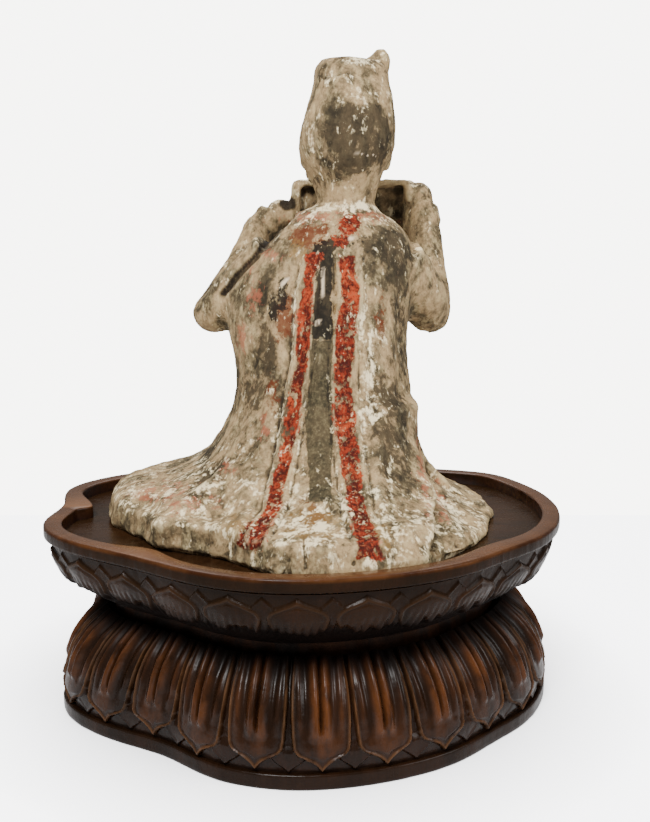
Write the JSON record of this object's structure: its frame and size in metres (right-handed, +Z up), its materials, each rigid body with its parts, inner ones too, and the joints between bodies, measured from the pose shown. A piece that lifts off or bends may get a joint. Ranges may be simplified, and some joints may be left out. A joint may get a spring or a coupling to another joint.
{
  "type": "terracotta musician figure on carved stand",
  "caption": "Painted terracotta figure of a kneeling musician playing the panpipes, set in the tray of a carved hardwood lotus stand.",
  "frame": {"origin": "centre of the stand's underside, in the middle of the part's box seen from above", "axes": "+Z up, through the figure's head; -Y is the way the figure faces; +X is towards its left hand"},
  "size_m": [0.2573, 0.2116, 0.3201],
  "materials": {
    "carved_hardwood": "dark waxed rosewood, worn lighter on its edges",
    "painted_clay": "grey-olive fired clay with worn cream slip and red stripes"
  },
  "bodies": {
    "root": {"stand_foot": "carved_hardwood", "stand_tray": "carved_hardwood", "musician": "painted_clay"}
  },
  "joints": []
}
